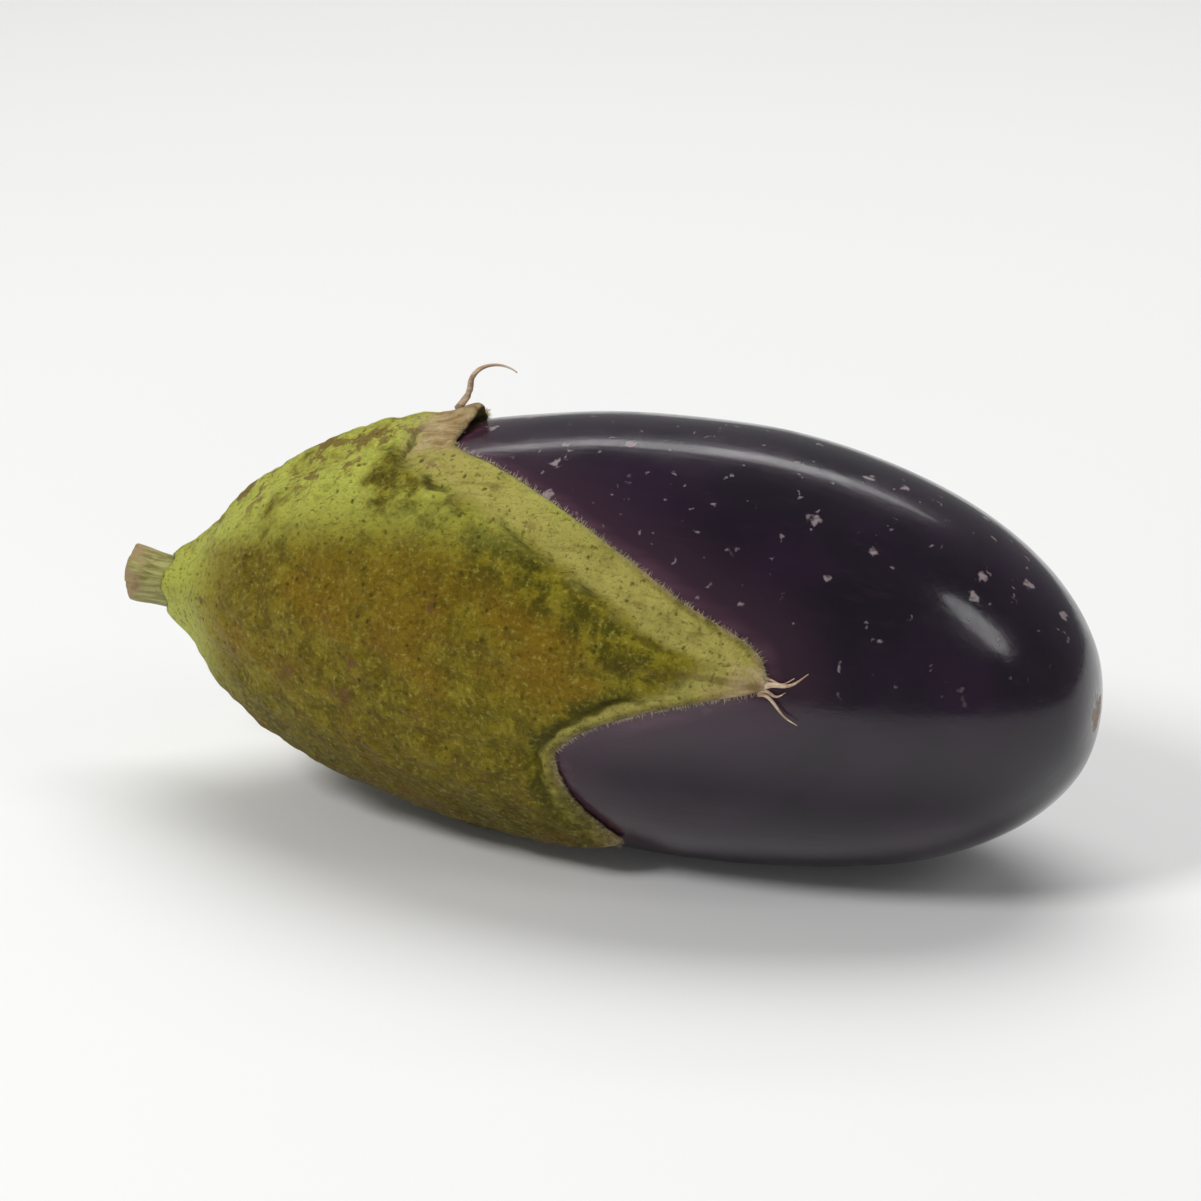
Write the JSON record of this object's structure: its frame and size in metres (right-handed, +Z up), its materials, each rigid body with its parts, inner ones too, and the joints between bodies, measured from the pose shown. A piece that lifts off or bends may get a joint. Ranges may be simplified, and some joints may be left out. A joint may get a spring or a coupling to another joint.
{
  "type": "eggplant",
  "caption": "Small glossy purple eggplant lying on its side, with a lobed green calyx and a cut stub of stem.",
  "frame": {"origin": "on the ground, under the middle of the object's box", "axes": "+X from the stem end to the blossom end, +Z up as it lies, -Y towards the front, where the longest lobe of the calyx is"},
  "size_m": [0.1324, 0.0588, 0.0553],
  "materials": {
    "fruit_skin": "glossy, waxy natural skin",
    "calyx_leaf": "dull, mottled and finely hairy",
    "stem_wood": "dull and fibrous"
  },
  "bodies": {
    "root": {"fruit": "fruit_skin", "calyx": "calyx_leaf", "stem": "stem_wood"}
  },
  "joints": []
}
